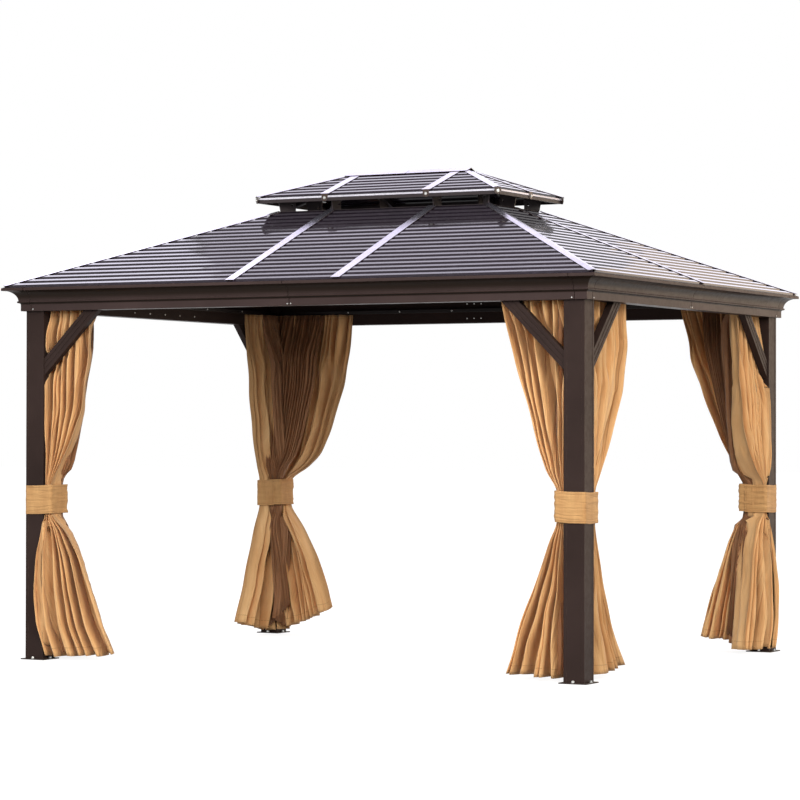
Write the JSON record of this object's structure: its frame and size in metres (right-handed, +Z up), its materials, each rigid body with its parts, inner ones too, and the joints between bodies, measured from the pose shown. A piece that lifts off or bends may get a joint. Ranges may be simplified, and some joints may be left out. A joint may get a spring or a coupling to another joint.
{
  "type": "hard-top garden pavilion",
  "caption": "Garden pavilion with square metal posts, crown cornice, two-tier ribbed hip roof and tied-back tan curtains.",
  "frame": {"origin": "on the ground at the middle of the plan", "axes": "+X along the long side, +Y along the short side towards the back, +Z up"},
  "size_m": [3.765, 2.9804, 2.868],
  "materials": {
    "frame_paint": "satin powder coat",
    "cornice_paint": "satin powder coat",
    "roof_paint": "gloss paint",
    "trim_paint": "gloss paint",
    "roof_frame_paint": "satin powder coat",
    "plate_paint": "satin powder coat",
    "rail_paint": "satin powder coat",
    "curtain_cloth": "woven cloth",
    "band_cloth": "woven cloth"
  },
  "bodies": {
    "root": {"front_left_post": "frame_paint", "front_right_post": "frame_paint", "back_left_post": "frame_paint", "back_right_post": "frame_paint", "long_beams": "frame_paint", "short_beams": "frame_paint", "front_left_braces": "frame_paint", "front_right_braces": "frame_paint", "back_left_braces": "frame_paint", "back_right_braces": "frame_paint", "front_cornice": "cornice_paint", "back_cornice": "cornice_paint", "left_cornice": "cornice_paint", "right_cornice": "cornice_paint", "cornice_corners": "cornice_paint", "front_roof_panels": "roof_paint", "back_roof_panels": "roof_paint", "left_roof_panels": "roof_paint", "right_roof_panels": "roof_paint", "upper_long_panels": "roof_paint", "upper_short_panels": "roof_paint", "lower_hip_caps": "trim_paint", "lower_seam_strips": "trim_paint", "upper_hip_caps": "trim_paint", "upper_seam_strips": "trim_paint", "ridge_caps": "trim_paint", "lower_rafters": "roof_frame_paint", "vent_curb_long": "roof_frame_paint", "vent_curb_short": "roof_frame_paint", "vent_brackets": "roof_frame_paint", "upper_rafters": "roof_frame_paint", "ridge_beam": "roof_frame_paint", "upper_fascia_long": "roof_frame_paint", "upper_fascia_short": "roof_frame_paint", "base_plates": "plate_paint", "curtain_rails": "rail_paint", "front_left_curtains": "curtain_cloth", "front_right_curtains": "curtain_cloth", "back_left_curtains": "curtain_cloth", "back_right_curtains": "curtain_cloth", "front_left_tie_band": "band_cloth", "front_right_tie_band": "band_cloth", "back_left_tie_band": "band_cloth", "back_right_tie_band": "band_cloth"}
  },
  "joints": []
}
